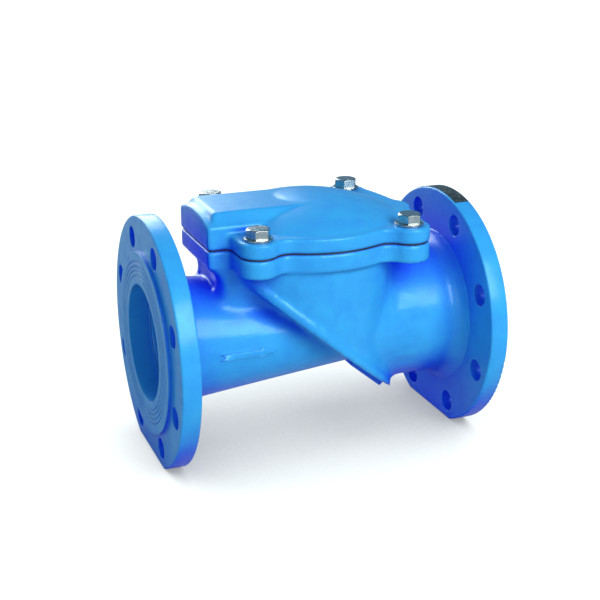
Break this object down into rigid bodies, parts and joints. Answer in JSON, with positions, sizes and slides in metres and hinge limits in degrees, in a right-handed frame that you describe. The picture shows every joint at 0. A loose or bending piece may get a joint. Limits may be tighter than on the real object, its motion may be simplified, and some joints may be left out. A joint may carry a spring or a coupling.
{
  "type": "check valve",
  "caption": "Flanged swing check valve with an inclined seat, a rubber flapper hinged at its clamped edge and a bolted domed top cover.",
  "frame": {"origin": "centre of the inlet flange's raised face, on the pipe axis", "axes": "+X along the pipe in the flow direction, from inlet to outlet; +Z towards the bolted cover; the flat feet under both flanges face -Z"},
  "size_m": [0.292, 0.215, 0.2175],
  "materials": {
    "blue_epoxy": "glossy fusion-bonded epoxy over ductile iron",
    "gasket_rubber": "matt black rubber sheet",
    "flap_rubber": "moulded black rubber",
    "steel_insert": "plain steel, moulded in",
    "woven_ply": "woven nylon ply, moulded in",
    "bright_zinc": "bright zinc plating",
    "label_film": "dark glossy film, blank"
  },
  "bodies": {
    "housing": {"valve_body": "blue_epoxy", "cover": "blue_epoxy", "cover_gasket": "gasket_rubber", "hinge_bead": "flap_rubber", "hinge_bar": "steel_insert", "rating_label": "label_film", "cover_bolt_1": "bright_zinc", "cover_bolt_2": "bright_zinc", "cover_bolt_3": "bright_zinc", "cover_bolt_4": "bright_zinc", "cover_washer_1": "bright_zinc", "cover_washer_2": "bright_zinc", "cover_washer_3": "bright_zinc", "cover_washer_4": "bright_zinc"},
    "flapper": {"flapper_rubber": "flap_rubber", "flapper_plate": "steel_insert", "neck_fabric": "woven_ply"}
  },
  "joints": [
    {"name": "flap_swing", "type": "hinge", "parent": "housing", "child": "flapper", "pos_m": [0.07362, 0, 0.07789], "axis": [0, -1, 0], "range_deg": [0, 35]}
  ]
}
